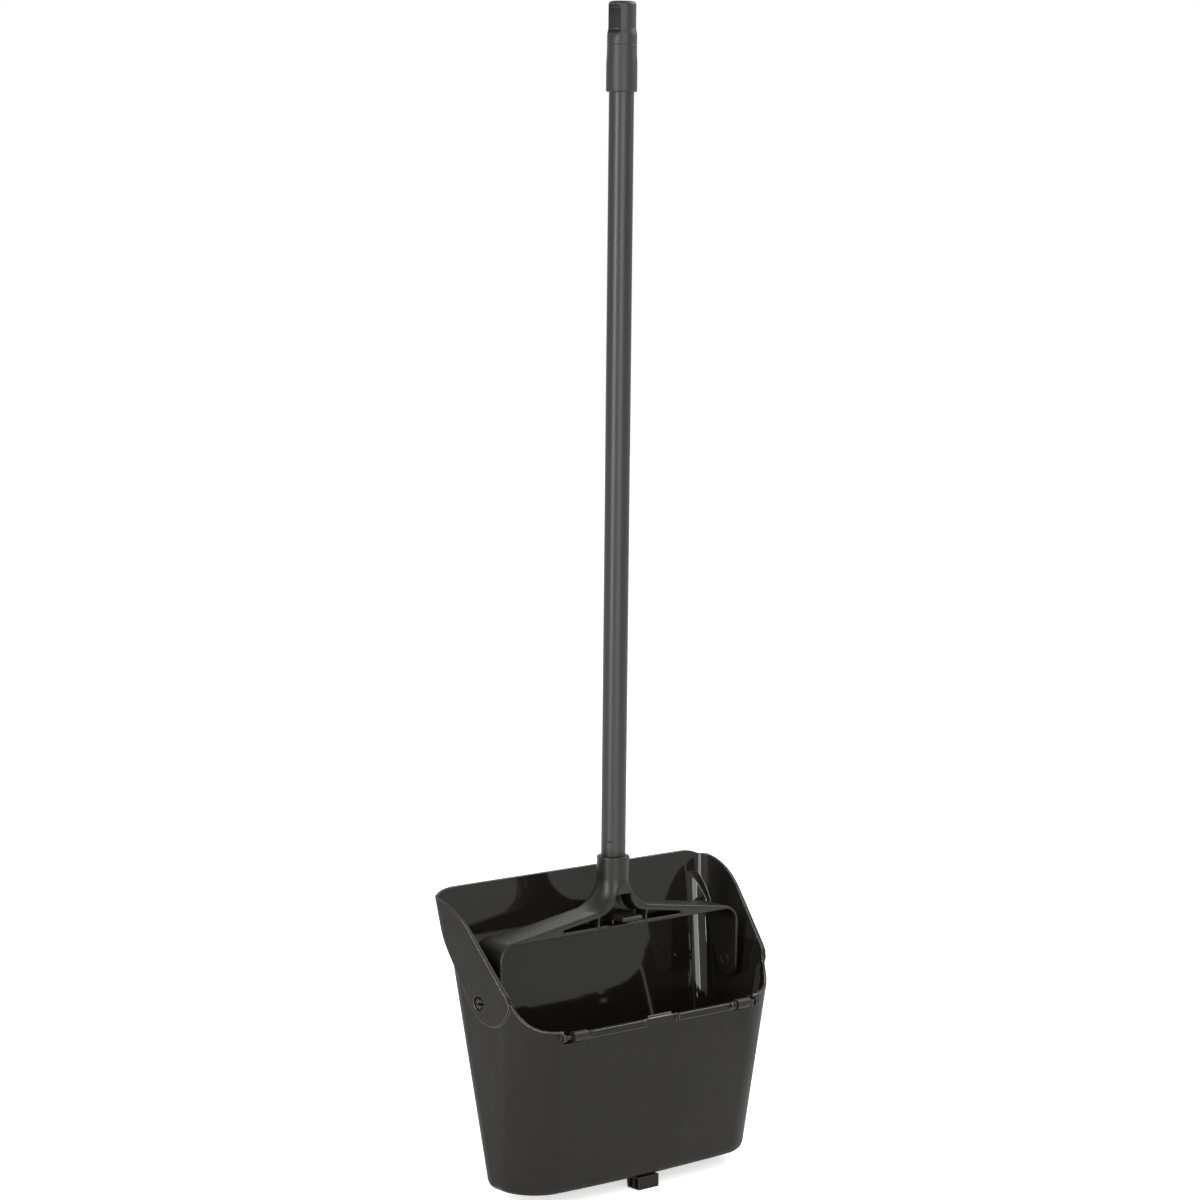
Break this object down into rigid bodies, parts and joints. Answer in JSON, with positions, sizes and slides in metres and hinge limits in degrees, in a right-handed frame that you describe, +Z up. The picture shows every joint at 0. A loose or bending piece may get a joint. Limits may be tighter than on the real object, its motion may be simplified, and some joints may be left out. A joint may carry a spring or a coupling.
{
  "type": "lobby dustpan",
  "caption": "Upright lobby dustpan: a deep plastic pan with an inner dust flap swings on snap pins in a yoke at the foot of a long tube handle with a hanging eye.",
  "frame": {"origin": "on the floor plane under the tipping foot, below the middle of the part's bounding box", "axes": "+Z up along the handle, +Y from the low front rim towards the tall back wall, +X to the right seen from the front"},
  "size_m": [0.3022, 0.1254, 0.9759],
  "materials": {
    "pan_plastic": "fine matt charcoal outside, smoother inside",
    "yoke_plastic": "satin charcoal",
    "tube_paint": "satin dark grey paint",
    "grip_plastic": "matt dark grey",
    "pin_steel": "darkened drawn wire"
  },
  "bodies": {
    "handle": {"yoke": "yoke_plastic", "rim_catch": "yoke_plastic", "pivot_pin_left": "yoke_plastic", "pivot_pin_right": "yoke_plastic", "thread_tip": "yoke_plastic", "handle_tube": "tube_paint", "grip_sleeve": "grip_plastic", "hanger_cap": "grip_plastic"},
    "pan": {"pan_shell": "pan_plastic", "tipping_foot": "pan_plastic", "flap_pin_left": "pin_steel", "flap_pin_right": "pin_steel"},
    "flap": {"dust_flap": "pan_plastic"}
  },
  "joints": [
    {"name": "pan_swing", "type": "hinge", "parent": "handle", "child": "pan", "pos_m": [0, 0.00595, 0.1687], "axis": [-1, 0, 0], "range_deg": [-24, 81]},
    {"name": "flap_swing", "type": "hinge", "parent": "pan", "child": "flap", "pos_m": [0, -0.05818, 0.1467], "axis": [1, 0, 0], "range_deg": [0, 85]}
  ]
}
